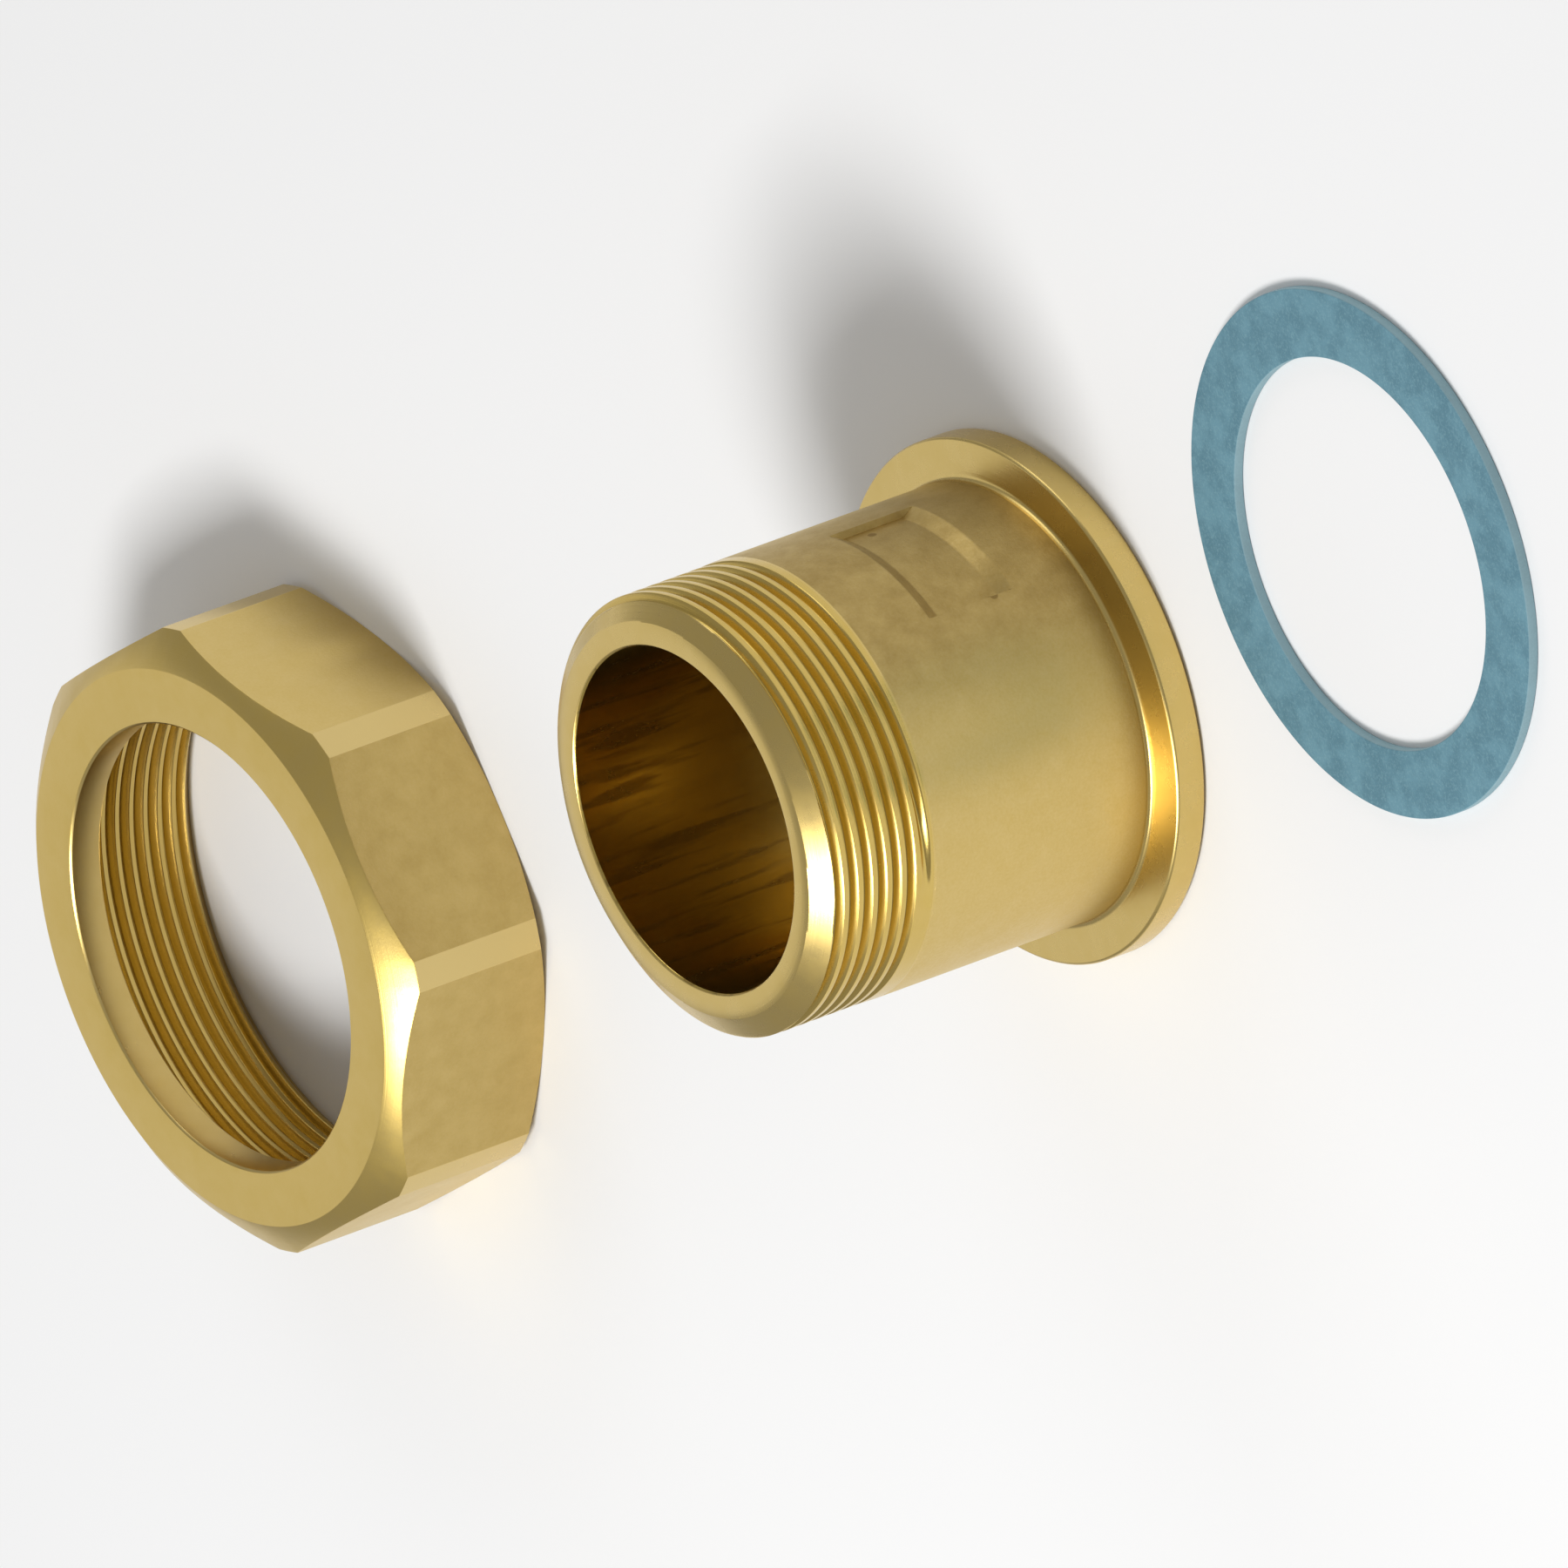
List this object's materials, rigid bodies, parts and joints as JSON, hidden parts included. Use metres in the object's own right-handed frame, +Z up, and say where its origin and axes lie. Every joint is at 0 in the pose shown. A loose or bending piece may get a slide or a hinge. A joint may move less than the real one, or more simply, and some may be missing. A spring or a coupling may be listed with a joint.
{
  "type": "threaded tailpiece",
  "caption": "Flanged tube end with an outer pipe thread, the octagonal union nut that pulls its flange onto a seat, and a flat ring gasket, laid apart.",
  "frame": {"origin": "centre of the tailpiece's water way on its sealing face, on the surface that all three pieces rest on", "axes": "+Z up along the tailpiece's axis from the sealing face to the threaded end; +Y from the tailpiece towards the union nut, with the gasket on the other side; +X to the right of both"},
  "size_m": [0.0832, 0.3369, 0.0575],
  "materials": {
    "tailpiece_brass": "turned brass, satin, with bright thread flanks",
    "nut_brass": "machined brass, satin flats and a turned collar face",
    "gasket_fibre": "matt blue-grey pressed fibre sheet"
  },
  "bodies": {
    "root": {"tailpiece": "tailpiece_brass", "union_nut": "nut_brass", "gasket": "gasket_fibre"}
  },
  "joints": []
}
